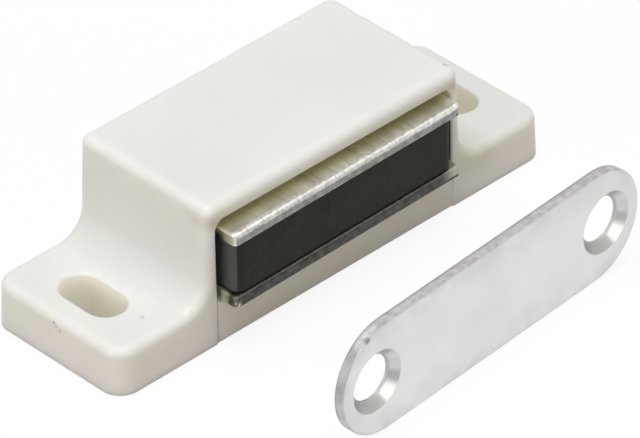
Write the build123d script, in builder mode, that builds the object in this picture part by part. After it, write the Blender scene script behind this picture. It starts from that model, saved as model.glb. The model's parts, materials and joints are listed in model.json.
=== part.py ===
from build123d import *
import os
from math import cos, radians, sin, tan

# A surface-mounted magnetic cupboard catch with its strike plate.
# X runs along the catch, -Y is the open front that the door closes against, +Z is up.
# The origin is the centre of the base, the face that lies on the cabinet. Lengths in mm, angles in degrees.

os.makedirs("parts", exist_ok=True)

# housing: one moulding, a hollow block between two screw ears
depth = 18.3
height = 16.2
block_length = 34.9
ear_thickness = 5.2
end_draft = 2.5
face_draft = 0.3
sweep_radius = 2.9
ear_corner_radius = 2.3
edge_radius = 1.0

# screw slots: one in each ear, between the sweep and the end of the ear
slot_inner_land = 1.3
slot_width = 4.3
slot_outer_land = 3.05
slot_length = 7.9
slot_edge_radius = 0.3

# cavity: open at the front and underneath
end_wall = 1.55
back_wall = 1.6
roof_thickness = 1.85
roof_corner_radius = 1.2
mouth_edge_radius = 0.25
stop_width = 1.4
stop_reach = 1.0
stop_gap = 0.8

# base plug: a tray pushed up into the cavity, held by a snap barb at each end
plug_height = 4.7
plug_gap = 0.06
plug_wall = 1.4
plug_edge_chamfer = 0.15
plug_rib = 1.2
plug_cells = 4
barb_width = 4.0
barb_reach = 0.45
barb_height = 1.3
barb_start = 1.7
pocket_gap = 0.12

# magnet pack: a ferrite block between two steel pole plates, loose in the cavity
pack_reach = 1.75
pack_float = 1.7
pack_side_gap = 0.5
pack_rise = 0.2
pack_headroom = 0.85
pack_yaw = 0.8
pole_corner_radius = 0.5
pole_edge_radius = 0.3
lower_pole_thickness = 1.15
upper_pole_thickness = 1.3
pole_tail = 5.1
magnet_end_inset = 0.6
magnet_shift = -0.25
magnet_setback = 0.2
magnet_corner_radius = 1.0
magnet_chamfer = 0.25

# strike plate: a flat steel plate with two countersunk screw holes, standing on its long edge
strike_length = 43.4
strike_width = 12.6
strike_thickness = 1.15
strike_edge_chamfer = 0.12
strike_hole_spacing = 33.6
strike_hole_radius = 2.45
strike_sink_radius = 3.4
strike_sink_angle = 90.0
strike_distance = 19.8
strike_offset = 1.7
strike_yaw = 4.2

# what follows for the housing
end_lean = tan(radians(end_draft))
face_lean = tan(radians(face_draft))
half_depth = depth / 2
half_block = block_length / 2
slot_x = half_block + sweep_radius + slot_inner_land + slot_width / 2
half_length = slot_x + slot_width / 2 + slot_outer_land
half_opening = half_block - end_wall
roof_height = height - roof_thickness
cavity_back = half_depth - back_wall
cavity_depth = cavity_back + half_depth

# what follows for the plug
plug_width = 2 * (half_opening - plug_gap)
plug_depth = cavity_depth - plug_gap
plug_centre_y = cavity_back - plug_gap - plug_depth / 2

# what follows for the pack, whose pole plates are notched just behind the magnet for the housing's stops
pack_bottom = plug_height + pack_rise
pole_length = 2 * (half_opening - pack_side_gap)
pole_depth = pack_reach + cavity_depth - pack_float
pack_centre_y = pole_depth / 2 - pack_reach - half_depth
magnet_length = pole_length - 2 * magnet_end_inset
magnet_depth = pole_depth - magnet_setback - pole_tail
magnet_height = roof_height - pack_headroom - upper_pole_thickness - lower_pole_thickness - pack_bottom
magnet_y = (magnet_setback - pole_tail) / 2
notch_width = stop_width + 2 * stop_gap
notch_depth = stop_reach - pack_side_gap + stop_gap / 2
notch_y = magnet_y + magnet_depth / 2 + notch_width / 2
stop_y = pack_centre_y + notch_y


def out_from_middle(item):
    """How far an edge, face or vertex lies to the left or right of the catch's middle."""
    return abs(item.center().X)


def ear_and_block_outline():
    """Half of the housing's front outline, from the middle of the base to the middle of the top."""
    ear_top = half_length - end_lean * ear_thickness
    block_top = half_block - end_lean * (height - ear_thickness)
    Polyline(
        (0, 0),
        (half_length, 0),
        (ear_top, ear_thickness),
        (half_block, ear_thickness),
        (block_top, height),
        (0, height),
    )


# Side view of the housing: its front and back faces lean in a little.
with BuildSketch(Plane.YZ) as side_outline:
    with BuildLine():
        Polyline(
            (-half_depth, 0),
            (half_depth, 0),
            (half_depth - face_lean * height, height),
            (-half_depth + face_lean * height, height),
            close=True,
        )
    make_face()


with BuildPart() as housing:
    with BuildSketch(Plane.XZ) as front_outline:
        with BuildLine():
            ear_and_block_outline()
            mirror(about=Plane.YZ)
        make_face()
        inner_corners = front_outline.vertices().group_by(Axis.Y)[1].sort_by(out_from_middle)[:2]
        fillet(inner_corners, sweep_radius)
    extrude(amount=half_depth, both=True)
    extrude(side_outline.sketch, amount=half_length, both=True, mode=Mode.INTERSECT)

    # the upright corners of the ears: the outermost edges that don't run straight from front to back
    ear_corners = housing.edges() - housing.edges().filter_by(Axis.Y)
    fillet(ear_corners.sort_by(out_from_middle)[-4:], ear_corner_radius)

    # then every edge above the base in one soft round, apart from the lines where the sweeps run out
    above_base = housing.edges().filter_by(lambda edge: edge.bounding_box().min.Z > edge_radius)
    across = above_base.filter_by(Axis.Y).filter_by(lambda edge: edge.center().Z < height - edge_radius)
    sweep_limits = across.sort_by(out_from_middle)[:4]
    fillet(above_base - sweep_limits, edge_radius)

    with BuildSketch(Plane.XZ.offset(-cavity_back)) as cavity_outline:
        Rectangle(2 * half_opening, roof_height, align=(Align.CENTER, Align.MIN))
        fillet(cavity_outline.vertices().group_by(Axis.Y)[-1], roof_corner_radius)
    extrude(amount=cavity_depth, mode=Mode.SUBTRACT)
    front_edges = housing.edges(Select.LAST).filter_by(lambda edge: edge.bounding_box().max.Y < -cavity_back)
    mouth = front_edges.sort_by(out_from_middle)[:5]
    fillet(mouth, mouth_edge_radius)

    # upright stops on the end walls, which keep the pack from falling out
    with BuildSketch(Plane.XY.offset(pack_bottom)):
        with Locations((half_opening, stop_y)):
            Rectangle(stop_reach, stop_width, align=(Align.MAX, Align.CENTER))
        mirror(about=Plane.YZ)
    extrude(amount=roof_height - pack_bottom)

    # pockets in the end walls for the plug's snap barbs
    with BuildSketch(Plane.XY.offset(barb_start - pocket_gap)):
        with Locations((half_opening, 0)):
            Rectangle(barb_reach + pocket_gap, barb_width + 2 * pocket_gap, align=(Align.MIN, Align.CENTER))
        mirror(about=Plane.YZ)
    extrude(amount=barb_height + 2 * pocket_gap, mode=Mode.SUBTRACT)

    with BuildSketch(Plane.XY):
        with GridLocations(2 * slot_x, 0, 2, 1):
            SlotOverall(slot_length, slot_width, rotation=90)
    extrude(amount=ear_thickness, mode=Mode.SUBTRACT)
    fillet(housing.edges(Select.LAST).group_by(Axis.Z)[-1], slot_edge_radius)
housing.part.label = "housing"


with BuildPart() as base_plug:
    with BuildSketch(Plane.XY):
        with Locations((0, plug_centre_y)):
            Rectangle(plug_width, plug_depth)
    extrude(amount=plug_height)
    extrude(side_outline.sketch, amount=half_length, both=True, mode=Mode.INTERSECT)
    front_foot = base_plug.edges().filter_by(Axis.X).group_by(Axis.Z)[0].sort_by(Axis.Y)[0]
    chamfer(front_foot, plug_edge_chamfer)

    # open cells between the ribs that the lower pole plate lies on
    cell_pitch = (plug_width - plug_wall) / plug_cells
    cell_width = cell_pitch - plug_rib
    with BuildSketch(Plane.XY.offset(plug_wall)):
        with Locations((0, plug_centre_y)):
            with GridLocations(cell_pitch, 0, plug_cells, 1):
                Rectangle(cell_width, plug_depth - 2 * plug_wall)
    extrude(amount=plug_height, mode=Mode.SUBTRACT)

    # snap barbs: a ramp above, a flat catch below
    with BuildSketch(Plane.XZ):
        with BuildLine():
            Polyline(
                (plug_width / 2 - plug_wall / 2, barb_start),
                (plug_width / 2 + barb_reach, barb_start),
                (plug_width / 2, barb_start + barb_height),
                (plug_width / 2 - plug_wall / 2, barb_start + barb_height),
                close=True,
            )
        make_face()
        mirror(about=Plane.YZ)
    extrude(amount=barb_width / 2, both=True)
base_plug.part.label = "base_plug"


# The pack stands a little crooked in its cavity, its left end further out.
pack_plane = Plane(
    origin=(0, pack_centre_y, pack_bottom),
    x_dir=(cos(radians(pack_yaw)), sin(radians(pack_yaw)), 0),
    z_dir=(0, 0, 1),
)


def pole_outline():
    """Plan of a pole plate: a strip with a square notch in each end for the housing's stops."""
    Rectangle(pole_length, pole_depth)
    with Locations((-pole_length / 2, notch_y), (pole_length / 2, notch_y)):
        Rectangle(2 * notch_depth, notch_width, mode=Mode.SUBTRACT)


with BuildPart() as lower_pole_plate:
    with BuildSketch(pack_plane) as lower_plan:
        pole_outline()
        fillet(lower_plan.vertices().sort_by(lambda v: abs(v.Y))[-4:], pole_corner_radius)
    extrude(amount=lower_pole_thickness)
    fillet(lower_pole_plate.faces().sort_by(Axis.Z)[-1].outer_wire().edges(), pole_edge_radius)
lower_pole_plate.part.label = "lower_pole_plate"


with BuildPart() as magnet_block:
    with BuildSketch(pack_plane.offset(lower_pole_thickness)) as magnet_plan:
        with Locations((magnet_shift, magnet_y)):
            Rectangle(magnet_length, magnet_depth)
        fillet(magnet_plan.vertices(), magnet_corner_radius)
    extrude(amount=magnet_height)
    chamfer(magnet_block.faces().sort_by(Axis.Z)[0].edges(), magnet_chamfer)
    chamfer(magnet_block.faces().sort_by(Axis.Z)[-1].edges(), magnet_chamfer)
magnet_block.part.label = "magnet_block"


with BuildPart() as upper_pole_plate:
    with BuildSketch(pack_plane.offset(lower_pole_thickness + magnet_height)) as upper_plan:
        pole_outline()
        fillet(upper_plan.vertices().sort_by(lambda v: abs(v.Y))[-4:], pole_corner_radius)
    extrude(amount=upper_pole_thickness)
    fillet(upper_pole_plate.faces().sort_by(Axis.Z)[-1].outer_wire().edges(), pole_edge_radius)
upper_pole_plate.part.label = "upper_pole_plate"


# The strike plate's sketch lies on its countersunk face, which looks away from the catch.
strike_face = Plane(
    origin=(strike_offset, -half_depth - strike_distance, strike_width / 2),
    x_dir=(cos(radians(strike_yaw)), sin(radians(strike_yaw)), 0),
    z_dir=(sin(radians(strike_yaw)), -cos(radians(strike_yaw)), 0),
)
with BuildPart() as strike_plate:
    with BuildSketch(strike_face):
        SlotOverall(strike_length, strike_width)
    extrude(amount=-strike_thickness)
    through_edges = strike_plate.edges().filter_by(Axis(strike_face.origin, strike_face.z_dir))
    chamfer(strike_plate.edges() - through_edges, strike_edge_chamfer)
    with Locations(strike_face):
        with GridLocations(strike_hole_spacing, 0, 2, 1):
            CounterSinkHole(strike_hole_radius, strike_sink_radius, counter_sink_angle=strike_sink_angle)
strike_plate.part.label = "strike_plate"


for piece in (housing, base_plug, lower_pole_plate, magnet_block, upper_pole_plate, strike_plate):
    export_step(piece.part, f"parts/{piece.part.label}.step")
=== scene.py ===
import json
from math import atan2, cos, pi, radians, sin

import bpy
from mathutils import Matrix, Vector


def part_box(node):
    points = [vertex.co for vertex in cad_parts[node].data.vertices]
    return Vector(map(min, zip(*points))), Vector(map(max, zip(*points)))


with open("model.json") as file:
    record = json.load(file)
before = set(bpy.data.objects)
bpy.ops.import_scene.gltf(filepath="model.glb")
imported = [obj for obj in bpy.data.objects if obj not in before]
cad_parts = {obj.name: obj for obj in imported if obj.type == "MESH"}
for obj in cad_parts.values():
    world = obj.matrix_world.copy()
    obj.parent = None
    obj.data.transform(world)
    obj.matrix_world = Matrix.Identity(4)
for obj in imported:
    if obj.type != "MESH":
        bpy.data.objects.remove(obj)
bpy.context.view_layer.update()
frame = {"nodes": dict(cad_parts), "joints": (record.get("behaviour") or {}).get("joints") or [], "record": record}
MM = 0.001


# ---- Housing ----
# The real piece is one injection moulding in warm white ABS: a hollow block with a slotted screw ear at each
# end. It comes out of the mould with a smooth semi-gloss skin, and its thin walls let some light through.

roof_thickness = 1.85 * MM
back_wall_thickness = 1.6 * MM
block_end_x = 17.4 * MM
ear_top = 5.2 * MM
# how far a mask goes past the faces of its piece on the sides where it has no edge of its own
past = 1 * MM


def new_finish(name):
    """Starts a material and gives it, its Principled shader and its object-space coordinates."""
    finish = bpy.data.materials.new(name)
    finish.use_nodes = True
    shader = finish.node_tree.nodes["Principled BSDF"]
    place = finish.node_tree.nodes.new("ShaderNodeTexCoord").outputs["Object"]
    return finish, shader, place


def add_node(finish, kind, settings=None, **inputs):
    """Adds a node: settings are its own properties, inputs are values or sockets, with _ for a space."""
    node = finish.node_tree.nodes.new(kind)
    for key, value in (settings or {}).items():
        setattr(node, key, value)
    for key, value in inputs.items():
        socket = node.inputs[int(key[3:]) if key.startswith("in_") else key.replace("_", " ")]
        if isinstance(value, bpy.types.NodeSocket):
            finish.node_tree.links.new(value, socket)
        else:
            socket.default_value = value
    return node


def calculate(finish, operation, *values):
    """One step of arithmetic on sockets or numbers."""
    inputs = {f"in_{index}": value for index, value in enumerate(values)}
    return add_node(finish, "ShaderNodeMath", {"operation": operation}, **inputs).outputs[0]


def measure(finish, operation, *vectors):
    """A length or a distance between sockets or points."""
    inputs = {f"in_{index}": vector for index, vector in enumerate(vectors)}
    return add_node(finish, "ShaderNodeVectorMath", {"operation": operation}, **inputs).outputs["Value"]


def axes_of(finish, place):
    return add_node(finish, "ShaderNodeSeparateXYZ", Vector=place).outputs


def noise(finish, place, size, detail=2.0, stretch=None):
    """Noise whose lumps are about size across, in metres. stretch under 1 lengthens them along that axis."""
    if stretch:
        place = add_node(finish, "ShaderNodeMapping", Vector=place, Scale=stretch).outputs["Vector"]
    return add_node(finish, "ShaderNodeTexNoise", Vector=place, Scale=1 / size, Detail=detail).outputs["Fac"]


def spread(finish, value, low, high, start=0.35, end=0.65):
    """Maps start to end onto low to high. The usual start and end are a noise's middle range."""
    fitted = {"From_Min": start, "From_Max": end, "To_Min": low, "To_Max": high}
    return add_node(finish, "ShaderNodeMapRange", Value=value, **fitted).outputs["Result"]


def blend_colours(finish, amount, first, second):
    """Mixes two colours, each a socket or red, green and blue, by an amount."""
    first, second = ((*tone, 1) if isinstance(tone, tuple) else tone for tone in (first, second))
    mix = add_node(finish, "ShaderNodeMix", {"data_type": "RGBA"}, in_0=amount, in_6=first, in_7=second)
    return mix.outputs[2]


def near_point(finish, place, centre, reach, fade):
    """1 within reach of a point, falling to 0 over fade."""
    return spread(finish, measure(finish, "DISTANCE", place, centre), 1.0, 0.0, reach, reach + fade)


def within(finish, place, low, high, fade):
    """1 inside the box from low to high, falling to 0 over fade outside its faces."""
    inside = 1.0
    for axis, start, end in zip(axes_of(finish, place), low, high):
        middle, half = (start + end) / 2, (end - start) / 2
        off = calculate(finish, "ABSOLUTE", calculate(finish, "SUBTRACT", axis, middle))
        inside = calculate(finish, "MULTIPLY", spread(finish, off, 1.0, 0.0, half, half + fade), inside)
    return inside


def into(finish, value, shader, socket):
    finish.node_tree.links.new(value, shader.inputs[socket])


def raise_surface(finish, shader, height, distance, under=None):
    """Bump of a given depth in metres, on top of another bump if one is given."""
    bump = add_node(finish, "ShaderNodeBump", Height=height, Distance=distance, Strength=1.0)
    if under:
        finish.node_tree.links.new(under, bump.inputs["Normal"])
    into(finish, bump.outputs["Normal"], shader, "Normal")
    return bump.outputs["Normal"]


def dress(node, finish):
    """Gives a node of the frame its finish."""
    mesh = frame["nodes"][node].data
    mesh.materials.clear()
    mesh.materials.append(finish)


def white_abs(name, light, shade):
    """Semi-gloss ABS between two whites, with a faint ripple and grain, that light sinks into a little."""
    finish, shader, place = new_finish(name)
    cloud = spread(finish, noise(finish, place, 14 * MM), 0.0, 1.0)
    colour = blend_colours(finish, cloud, light, shade)
    gloss = spread(finish, noise(finish, place, 3 * MM, 4.0), 0.30, 0.42)
    into(finish, gloss, shader, "Roughness")
    shader.inputs["Subsurface Weight"].default_value = 0.7
    shader.inputs["Subsurface Radius"].default_value = (1.0, 0.95, 0.7)
    shader.inputs["Subsurface Scale"].default_value = 2.2 * MM
    ripple = raise_surface(finish, shader, noise(finish, place, 2.2 * MM), 0.02 * MM)
    raise_surface(finish, shader, noise(finish, place, 0.12 * MM), 0.002 * MM, under=ripple)
    return finish, shader, place, colour


def shade_cavity(finish, place, colour):
    """Painted light and shade in the cavity: cream painted light where light comes through the walls, dark painted
    shade beside the magnet and grey painted shade at the roof's front edge.
    """
    low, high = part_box("housing")
    plug_low, plug_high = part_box("base_plug")
    magnet_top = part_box("magnet_block")[1].z
    roof, back_wall = high.z - roof_thickness, high.y - back_wall_thickness
    # painted light: the cavity is cream, standing for light that comes through the walls
    glow_start = (plug_low.x, low.y + 1.0 * MM, low.z - past)
    through_wall_glow = within(finish, place, glow_start, (plug_high.x, back_wall, roof), 0.4 * MM)
    colour = blend_colours(finish, through_wall_glow, colour, (0.86, 0.85, 0.57))
    # painted shade: dark brown beside the magnet, in the gap between the pack and the walls
    gap_shade_start = (plug_low.x, low.y + 0.35 * MM, low.z)
    gap_shade = within(finish, place, gap_shade_start, (plug_high.x, back_wall, magnet_top), 0.12 * MM)
    colour = blend_colours(finish, gap_shade, colour, (0.13, 0.08, 0.055))
    # painted shade: grey at the front edge of the roof, over the opening
    lip_shade_start, lip_shade_end = (plug_low.x, low.y - past, roof), (plug_high.x, low.y + 2 * MM, roof + 0.1 * MM)
    lip = within(finish, place, lip_shade_start, lip_shade_end, 1.1 * MM)
    return blend_colours(finish, lip, colour, (0.57, 0.54, 0.485))


def shade_ears(finish, place, colour):
    """Painted light makes the slots cream inside, and painted shadow of the block makes the right ear greener and
    darker beside it.
    """
    # the stated openings are the slots' straight middles, without their round ends
    round_end = 2 * MM
    for opening in frame["record"]["physics"]["openings"]:
        (x0, y0, z0), (x1, y1, z1) = opening["box_m"]
        # painted light: each slot's inside is cream, standing for light that comes through the ear
        slot_glow_start = (x0 - 0.2 * MM, y0 - round_end, z0)
        slot_glow_end = (x1 + 0.2 * MM, y1 + round_end, z1 - 1.0 * MM)
        slot_glow = within(finish, place, slot_glow_start, slot_glow_end, 0.4 * MM)
        colour = blend_colours(finish, slot_glow, colour, (1.0, 0.99, 0.87))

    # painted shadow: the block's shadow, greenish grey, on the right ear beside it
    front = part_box("housing")[0].y
    block_shadow_start = (block_end_x, front - 0.6 * MM, ear_top - 1.6 * MM)
    block_shadow_end = (block_end_x + 3.2 * MM, -0.5 * MM, ear_top + 0.4 * MM)
    block_shadow = calculate(finish, "MULTIPLY", within(finish, place, block_shadow_start, block_shadow_end, 1.8 * MM), 0.9)
    return blend_colours(finish, block_shadow, colour, (0.69, 0.695, 0.61))


def add_marks(finish, place, colour):
    """Small marks of handling: for each its place and its reach in millimetres, and its colour."""
    marks = (
        ((-28.9, 0.19, 4.43), 0.10, (0.40, 0.39, 0.37)),
        ((-28.9, -0.15, 4.14), 0.05, (0.50, 0.48, 0.45)),
        ((-28.95, -0.69, 3.84), 0.10, (0.50, 0.48, 0.45)),
        ((-22.85, -5.95, 5.2), 0.12, (0.60, 0.60, 0.58)),
        ((-17.4, 6.04, 14.70), 0.10, (0.55, 0.53, 0.50)),
        ((16.43, -7.65, 16.1), 0.22, (0.50, 0.52, 0.49)),
    )
    for (x, y, z), reach, tone in marks:
        mark = near_point(finish, place, (x * MM, y * MM, z * MM), reach * MM, 0.18 * MM)
        colour = blend_colours(finish, mark, colour, tone)
    return colour


def housing_abs():
    light, shade = (0.81, 0.807, 0.775), (0.775, 0.772, 0.74)
    finish, shader, place, colour = white_abs("moulded_white_abs", light, shade)
    colour = shade_cavity(finish, place, colour)
    colour = shade_ears(finish, place, colour)
    into(finish, add_marks(finish, place, colour), shader, "Base Color")
    return finish


dress("housing", housing_abs())


# ---- Base plug ----
# A shallow tray moulded in the same ABS, a little creamier, that snaps up into the housing from below.
# Only its front strip shows, between two upright seams. Both ends are painted paler, as light let in by the seams.

def plug_abs():
    finish, shader, place, colour = white_abs("plug_white_abs", (0.80, 0.785, 0.72), (0.76, 0.745, 0.67))
    low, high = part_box("base_plug")
    half_strip = 0.35 * MM
    # painted light: a pale strip at each end, standing for light that the seams let in
    for end in (low.x, high.x):
        seam_glow_start, seam_glow_end = (end - half_strip, low.y - past, low.z), (end + half_strip, high.y, high.z)
        seam_glow = within(finish, place, seam_glow_start, seam_glow_end, 0.2 * MM)
        colour = blend_colours(finish, seam_glow, colour, (0.87, 0.85, 0.70))
    into(finish, colour, shader, "Base Color")
    return finish


dress("base_plug", plug_abs())


# ---- Magnet ----
# A pressed and sintered ferrite block, ground on its two wide faces and left dull and dark grey all round.
# It is held between the two pole plates by its own pull, and stands a little crooked with them in the cavity.

hinge = next(joint for joint in frame["joints"] if joint["name"] == "magnet_pack_yaw")
rest_turn = -radians(sum(hinge["range_deg"]) / 2)


def along_pack(finish, place):
    """The pack's own coordinates: as the frame's, but straight where the pack at rest is turned."""
    pivot, straighten = Vector(hinge["pos_m"]), Matrix.Rotation(-rest_turn, 3, "Z")
    shift = pivot - straighten @ pivot
    turned = add_node(finish, "ShaderNodeMapping", Vector=place, Location=shift, Rotation=(0, 0, -rest_turn))
    return turned.outputs["Vector"]


def ferrite():
    finish, shader, place = new_finish("sintered_ferrite")
    cloud = spread(finish, noise(finish, place, 5 * MM, 4.0), 0.0, 1.0)
    colour = blend_colours(finish, cloud, (0.017, 0.0175, 0.0135), (0.022, 0.0225, 0.0185))

    # painted light: the ends are paler and bluer than the front, from the middle of each round corner on
    low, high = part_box("magnet_block")
    axes = axes_of(finish, along_pack(finish, place))
    corner_radius = 1.0 * MM
    middle, half = (low.x + high.x) / 2, (high.x - low.x) / 2
    side = calculate(finish, "ABSOLUTE", calculate(finish, "SUBTRACT", axes["X"], middle))
    round_corner = calculate(finish, "ADD", side, axes["Y"])
    corner = half + low.y + (half - corner_radius) * sin(rest_turn)
    end = spread(finish, round_corner, 0.0, 1.0, corner - 0.12 * MM, corner + 0.12 * MM)
    colour = blend_colours(finish, end, colour, (0.080, 0.083, 0.082))

    # painted shade: a darker line along the top and bottom edges, where the magnet meets the pole plates
    shade_line = 0.40 * MM
    inner_start = (low.x - past, low.y - past, low.z + shade_line)
    inner_end = (high.x + past, high.y + past, high.z - shade_line)
    inner = within(finish, place, inner_start, inner_end, 0.12 * MM)
    colour = blend_colours(finish, inner, (0.012, 0.012, 0.010), colour)
    into(finish, colour, shader, "Base Color")
    shader.inputs["Specular IOR Level"].default_value = 0.16
    into(finish, spread(finish, noise(finish, place, 0.5 * MM), 0.50, 0.62), shader, "Roughness")
    raise_surface(finish, shader, noise(finish, place, 0.15 * MM), 0.003 * MM)
    return finish


dress("magnet_block", ferrite())


# ---- Upper pole plate ----
# A strip of mild steel, sheared from stock and zinc plated, that carries the magnet's pull to the front.
# It lies on the magnet, and its zinc is bright, with a painted olive reflection of the roof's underside where the
# roof covers it.

def front_band(finish, flat, node, near, far):
    """1 from a pole plate's front face back to near, falling to 0 at far."""
    low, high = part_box(node)
    corner_radius = 0.5 * MM
    corner_x = (high.x - low.x) / 2 - corner_radius
    front = low.y + corner_x * sin(rest_turn)
    return spread(finish, axes_of(finish, flat)["Y"], 1.0, 0.0, front + near, front + far)


def wide_faces(finish, flat, node, face, worn_face, streaks):
    """Streaks and bands along the stock, duller at the left, and behind the front a painted olive reflection of
    the roof's underside.
    """
    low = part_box(node)[0]
    bands = noise(finish, flat, 1.8 * MM, 2.0, stretch=(1.0, 0.15, 1.0))
    worn = spread(finish, calculate(finish, "ADD", streaks, bands), 0.0, 1.0, 0.70, 1.30)
    colour = blend_colours(finish, worn, face, worn_face)
    duller = spread(finish, axes_of(finish, flat)["X"], 0.9, 0.0, low.x + 1 * MM, low.x + 13 * MM)
    colour = blend_colours(finish, duller, colour, worn_face)
    # painted reflection: olive behind the front, standing for the roof's underside mirrored in the zinc
    roof_reflection = blend_colours(finish, worn, (1.0, 1.0, 0.78), (0.82, 0.81, 0.585))
    return blend_colours(finish, front_band(finish, flat, node, 0.9 * MM, 2.0 * MM), roof_reflection, colour)


def front_edge(finish, flat, node, colour, face, worn_face, sheared, worn_sheared, roll):
    """The front edge: rolled over, with a painted highlight, bright and uneven, along the top's front and down to
    roll below the top, and sheared under that.
    """
    speckle = spread(finish, noise(finish, flat, 0.45 * MM, 4.0), 0.0, 0.9)
    speckled = blend_colours(finish, speckle, face, worn_face)
    # painted highlight: a bright band along the front of the top and down the front face to roll below the top
    painted_highlight = blend_colours(finish, front_band(finish, flat, node, 0.5 * MM, 0.8 * MM), colour, speckled)
    uneven = spread(finish, noise(finish, flat, 0.7 * MM, 3.0), -0.06 * MM, 0.06 * MM)
    level = calculate(finish, "ADD", axes_of(finish, flat)["Z"], uneven)
    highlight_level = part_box(node)[1].z - roll
    below = spread(finish, level, 1.0, 0.0, highlight_level - 0.14 * MM, highlight_level + 0.10 * MM)
    cut = calculate(finish, "MULTIPLY", front_band(finish, flat, node, 0.04 * MM, 0.11 * MM), below)
    mottle = spread(finish, noise(finish, flat, 0.9 * MM, 4.0), 0.0, 1.0)
    return blend_colours(finish, cut, painted_highlight, blend_colours(finish, mottle, sheared, worn_sheared))


def zinc_plate(name, node, face, worn_face, sheared, worn_sheared, roughness, roll):
    """A pole plate's zinc, with its colour left to be finished and put in by the caller."""
    finish, shader, place = new_finish(name)
    flat = along_pack(finish, place)
    streaks = noise(finish, flat, 0.35 * MM, 3.0, stretch=(1.0, 0.08, 1.0))
    colour = wide_faces(finish, flat, node, face, worn_face, streaks)
    colour = front_edge(finish, flat, node, colour, face, worn_face, sheared, worn_sheared, roll)
    shader.inputs["Metallic"].default_value = 1.0
    into(finish, spread(finish, noise(finish, place, 4 * MM, 3.0), *roughness), shader, "Roughness")
    raise_surface(finish, shader, streaks, 0.01 * MM)
    return finish, shader, flat, colour


def bright_zinc():
    low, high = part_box("upper_pole_plate")
    finish, shader, flat, colour = zinc_plate(
        "bright_zinc", "upper_pole_plate", face=(0.87, 0.875, 0.83), worn_face=(0.52, 0.515, 0.455),
        sheared=(0.33, 0.34, 0.32), worn_sheared=(0.21, 0.215, 0.20), roughness=(0.26, 0.38), roll=0.47 * MM,
    )
    # the two end faces, below the rolled corner, are browner than the rest
    end = 0.25 * MM
    middle_start, middle_end = (low.x + end, low.y - past, low.z - past), (high.x - end, high.y, high.z)
    middle = within(finish, flat, middle_start, middle_end, 0.1 * MM)
    upper_start = (low.x - past, low.y - past, high.z - 0.2 * MM)
    upper = within(finish, flat, upper_start, (high.x + past, high.y, high.z + past), 0.1 * MM)
    clear = calculate(finish, "MAXIMUM", middle, upper)
    colour = blend_colours(finish, clear, (0.52, 0.49, 0.43), colour)

    # two spots of painted shade at the right end, one at the bottom edge over the magnet and one at the end
    for x, z in ((high.x - 0.55 * MM, low.z + 0.05 * MM), (high.x - 0.1 * MM, low.z + 0.5 * MM)):
        shade_spot = near_point(finish, flat, (x, low.y + 0.25 * MM, z), 0.12 * MM, 0.14 * MM)
        colour = blend_colours(finish, shade_spot, colour, (0.06, 0.06, 0.05))
    into(finish, colour, shader, "Base Color")
    return finish


dress("upper_pole_plate", bright_zinc())


# ---- Lower pole plate ----
# A second strip of the same steel, a little thinner, that lies under the magnet on the plug.
# Its zinc has gone dull and dark, and its front edge is sheared all the way up.

def dull_zinc():
    low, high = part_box("lower_pole_plate")
    no_roll = -1 * MM  # above the top, so that the whole edge is sheared
    finish, shader, flat, colour = zinc_plate(
        "dull_zinc", "lower_pole_plate", face=(0.15, 0.145, 0.125), worn_face=(0.07, 0.068, 0.06),
        sheared=(0.105, 0.10, 0.09), worn_sheared=(0.056, 0.051, 0.042), roughness=(0.40, 0.55), roll=no_roll,
    )
    # painted reflection: the right end is pale with the beige housing mirrored in it, except in a dark strip along
    # the bottom, which keeps the plate's own colour
    fade = spread(finish, axes_of(finish, flat)["X"], 0.0, 1.0, high.x - 2.6 * MM, high.x - 0.9 * MM)
    reflection_zone_start, reflection_zone_end = (low.x, low.y - past, low.z + 0.32 * MM), (high.x + past, high.y, high.z + past)
    reflection_zone = within(finish, flat, reflection_zone_start, reflection_zone_end, 0.08 * MM)
    housing_reflection = calculate(finish, "MULTIPLY", fade, reflection_zone)
    colour = blend_colours(finish, housing_reflection, colour, (0.40, 0.375, 0.32))

    # a ragged burr shines at the front left corner
    corner = (low.x + 0.3 * MM, low.y + 0.35 * MM, low.z)
    ragged = spread(finish, noise(finish, flat, 0.25 * MM, 3.0), 0.0, 1.0, 0.47, 0.57)
    burr = calculate(finish, "MULTIPLY", near_point(finish, flat, corner, 0.35 * MM, 0.4 * MM), ragged)
    colour = blend_colours(finish, burr, colour, (0.50, 0.48, 0.42))
    into(finish, colour, shader, "Base Color")
    return finish


dress("lower_pole_plate", dull_zinc())


# ---- Strike plate ----
# A blanked strip of steel with round ends and two countersunk holes, barrel finished and plated dull silver.
# It is screwed to the door through the holes, and lies against the pole plates when the door is shut.

lip_radius = 2.50 * MM
sink_radius = 3.4 * MM
ring_pitch = 0.16 * MM


def along_plate(finish, place):
    """The plate's own coordinates: x along it, z up it and y through it, from the middle of its back."""
    spots = {mount["name"]: Vector(mount["pos_m"]) for mount in frame["record"]["mounts"]}
    run = spots["strike_hole_right"] - spots["strike_hole_left"]
    turned = add_node(
        finish, "ShaderNodeMapping", {"vector_type": "TEXTURE"},
        Vector=place, Location=spots["strike_back"], Rotation=(0, 0, atan2(run.y, run.x)),
    )
    return turned.outputs["Vector"], run.length / 2


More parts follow.
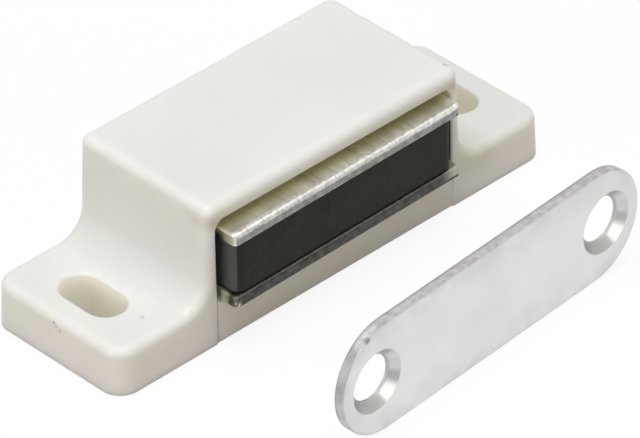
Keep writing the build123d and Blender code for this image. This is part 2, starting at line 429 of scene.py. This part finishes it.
def turn_countersinks(finish, axes, hole_at, colour):
    """Countersinks with fine rings and lighter and darker rays. Gives the colour and the rings' height."""
    middle = calculate(finish, "MULTIPLY", calculate(finish, "SIGN", axes["X"]), hole_at)
    across = calculate(finish, "SUBTRACT", axes["X"], middle)
    spot = add_node(finish, "ShaderNodeCombineXYZ", X=across, Z=axes["Z"]).outputs["Vector"]
    radius = measure(finish, "LENGTH", spot)
    sink = spread(finish, radius, 1.0, 0.0, sink_radius - 0.05 * MM, sink_radius + 0.05 * MM)
    turn = calculate(finish, "SINE", calculate(finish, "MULTIPLY", radius, 2 * pi / ring_pitch))
    rings = calculate(finish, "MULTIPLY", turn, sink)

    ray = add_node(finish, "ShaderNodeVectorMath", {"operation": "NORMALIZE"}, in_0=spot).outputs["Vector"]
    rays = spread(finish, noise(finish, ray, 0.7, 1.0), 0.0, 1.0)
    turned = blend_colours(finish, rays, (0.72, 0.72, 0.705), (0.60, 0.60, 0.59))
    # each ray: its angle in degrees, its reach and fade on the unit circle, and its colour. The ray at -50 degrees
    # is a painted highlight, and the others are painted shade
    for angle, reach, fade, tone in (
        (-115, 0.74, 0.14, (0.42, 0.42, 0.405)),
        (-50, 0.10, 0.20, (0.78, 0.775, 0.77)),
        (-20, 0.10, 0.20, (0.40, 0.40, 0.40)),
        (78, 0.25, 0.20, (0.50, 0.50, 0.49)),
    ):
        toward = (cos(radians(angle)), 0, sin(radians(angle)))
        turned = blend_colours(finish, near_point(finish, ray, toward, reach, fade), turned, tone)
    lip = spread(finish, radius, 1.0, 0.0, lip_radius, lip_radius + 0.18 * MM)
    turned = blend_colours(finish, lip, turned, (0.45, 0.45, 0.44))
    return blend_colours(finish, sink, colour, turned), rings


def rim_distance(finish, axes, straight):
    """How far a place is from the line that joins the round ends' centres, each straight from the middle."""
    ends = calculate(finish, "SUBTRACT", calculate(finish, "ABSOLUTE", axes["X"]), straight)
    ends = calculate(finish, "MAXIMUM", ends, 0.0)
    rim = add_node(finish, "ShaderNodeCombineXYZ", X=ends, Z=axes["Z"]).outputs["Vector"]
    return measure(finish, "LENGTH", rim)


def shade_edge(finish, place, flat, axes, colour):
    """The blanked edge is a greyer, mottled band, darkest at the back, and the face beside it is patchy."""
    low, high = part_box("strike_plate")
    half_width = (high.z - low.z) / 2
    straight = (high - low).xy.length / 2 - half_width
    rim = rim_distance(finish, axes, straight)
    tumbled = spread(finish, rim, 0.0, 1.0, half_width - 3.0 * MM, half_width)
    grime = spread(finish, noise(finish, place, 2.5 * MM, 4.0), 0.0, 0.7)
    tumbled = calculate(finish, "MULTIPLY", tumbled, grime)
    colour = blend_colours(finish, tumbled, colour, (0.57, 0.57, 0.555))

    wall = spread(finish, rim, 0.0, 1.0, half_width - 0.30 * MM, half_width - 0.02 * MM)
    nicks = spread(finish, noise(finish, place, 1.2 * MM, 3.0), -0.35 * MM, 0.10 * MM, 0.50, 0.70)
    nicked_rim = calculate(finish, "ADD", rim, nicks)
    nicked = spread(finish, nicked_rim, 0.0, 1.0, half_width - 0.16 * MM, half_width - 0.04 * MM)
    edge = calculate(finish, "MAXIMUM", wall, nicked)
    mottle = spread(finish, noise(finish, place, 0.8 * MM, 4.0), 0.0, 1.0)
    blanked = blend_colours(finish, mottle, (0.53, 0.525, 0.515), (0.38, 0.37, 0.365))
    torn = spread(finish, axes["Y"], 0.0, 1.0, -0.45 * MM, -0.15 * MM)
    blanked = blend_colours(finish, torn, blanked, (0.30, 0.295, 0.29))
    # painted shade: the upper part of the left end's edge wall is darkened around this point
    end_shade_centre = (-straight - 0.88 * half_width, -0.6 * MM, 0.45 * half_width)
    end_shade = near_point(finish, flat, end_shade_centre, 1.6 * MM, 1.6 * MM)
    blanked = blend_colours(finish, end_shade, blanked, (0.27, 0.27, 0.265))
    colour = blend_colours(finish, edge, colour, blanked)

    # a nick on the left end's front edge, and a scrape along the lower one
    nick_place = (-straight - 0.42 * half_width, -1.15 * MM, 0.89 * half_width)
    nick = near_point(finish, flat, nick_place, 0.2 * MM, 0.3 * MM)
    colour = blend_colours(finish, nick, colour, (0.24, 0.24, 0.23))
    scrape_start, scrape_end = (-0.5 * MM, -2 * MM, -half_width), (2.6 * MM, 0, 0.04 * MM - half_width)
    scrape = within(finish, flat, scrape_start, scrape_end, 0.16 * MM)
    return blend_colours(finish, scrape, colour, (0.26, 0.26, 0.25))


def dull_silver():
    finish, shader, place = new_finish("dull_silver_plating")
    grain = noise(finish, place, 0.25 * MM, 3.0)
    cloud = spread(finish, noise(finish, place, 6 * MM, 3.0), 0.0, 1.0)
    colour = blend_colours(finish, cloud, (0.755, 0.76, 0.745), (0.71, 0.71, 0.695))
    flat, hole_at = along_plate(finish, place)
    axes = axes_of(finish, flat)
    colour, rings = turn_countersinks(finish, axes, hole_at, colour)
    into(finish, shade_edge(finish, place, flat, axes, colour), shader, "Base Color")
    shader.inputs["Metallic"].default_value = 1.0
    into(finish, spread(finish, grain, 0.34, 0.44), shader, "Roughness")
    fine = raise_surface(finish, shader, grain, 0.004 * MM)
    raise_surface(finish, shader, rings, 0.003 * MM, under=fine)
    return finish


dress("strike_plate", dull_silver())


# ---- Floor, light and camera ----
# The catch and its plate stand on a wide sheet of white paper under a broad lamp, with a weaker lamp in front
# and one to the left. The camera looks down on the catch's open front from its left.

def seen_straight(finish):
    """1 where a surface is seen, straight, in a gloss or through glass, and 0 where it only gives light."""
    rays = add_node(finish, "ShaderNodeLightPath").outputs
    seen = calculate(finish, "MAXIMUM", rays["Is Camera Ray"], rays["Is Glossy Ray"])
    return calculate(finish, "MAXIMUM", seen, rays["Is Transmission Ray"])


def lay_paper():
    """A flat sheet just under the catch, white to the eye, that gives a warm grey light back from below."""
    bpy.ops.object.select_all(action="DESELECT")
    bpy.ops.mesh.primitive_plane_add(size=3.0, location=(0, 0, -0.1 * MM))
    sheet = bpy.context.object
    sheet.name = "floor"
    paper = bpy.data.materials.new("white_paper")
    paper.use_nodes = True
    nodes, links = paper.node_tree.nodes, paper.node_tree.links
    nodes.remove(nodes["Principled BSDF"])
    seen = seen_straight(paper)
    tone = blend_colours(paper, seen, (0.58, 0.50, 0.40), (1.0, 1.0, 1.0))
    lit = add_node(paper, "ShaderNodeBsdfDiffuse", Color=tone)
    glow = add_node(paper, "ShaderNodeEmission", Color=(1, 1, 1, 1), Strength=1.0)
    share = calculate(paper, "MULTIPLY", seen, 0.88)
    both = add_node(paper, "ShaderNodeMixShader", in_0=share, in_1=lit.outputs[0], in_2=glow.outputs[0])
    links.new(both.outputs[0], nodes["Material Output"].inputs["Surface"])
    sheet.data.materials.append(paper)
    return sheet


floor = lay_paper()

world = bpy.data.worlds.new("studio")
bpy.context.scene.world = world
world.use_nodes = True
sky = world.node_tree.nodes["Background"]
sky.inputs["Color"].default_value = (1.0, 1.0, 1.0, 1)
strength = spread(world, seen_straight(world), 0.30, 1.0, 0.0, 1.0)
world.node_tree.links.new(strength, sky.inputs["Strength"])


def softbox(name, place, power, colour):
    """A square lamp of half a metre that faces the catch."""
    lamp = bpy.data.lights.new(name, "AREA")
    lamp.size = 0.5
    lamp.energy = power
    lamp.color = colour
    box = bpy.data.objects.new(name, lamp)
    bpy.context.scene.collection.objects.link(box)
    box.location = place
    box.rotation_euler = Vector(place).to_track_quat("Z", "Y").to_euler()


softbox("overhead", (0, -0.024, 0.70), 3.3, (0.97, 0.99, 1.0))
softbox("left_fill", (-0.676, 0, 0.181), 1.8, (1.0, 0.965, 0.945))
softbox("front_fill", (0, -0.676, 0.181), 0.85, (1.0, 0.92, 0.82))

scene = bpy.context.scene
scene.view_settings.view_transform = "Standard"

azimuth, elevation, roll = radians(-43.53), radians(36.15), radians(-0.87)
camera_distance = 0.7229
aim = Vector((5.16 * MM, -1.38 * MM, 0))
back = Vector((sin(azimuth) * cos(elevation), -cos(azimuth) * cos(elevation), sin(elevation)))
right = Vector((cos(azimuth), sin(azimuth), 0))
camera_data = bpy.data.cameras.new("camera")
camera_data.lens = 411.6
camera_data.sensor_width = 36
camera = bpy.data.objects.new("camera", camera_data)
scene.collection.objects.link(camera)
turn = Matrix((right, back.cross(right), back)).transposed().to_4x4()
camera.matrix_world = Matrix.Translation(aim + camera_distance * back) @ turn @ Matrix.Rotation(roll, 4, "Z")
scene.camera = camera
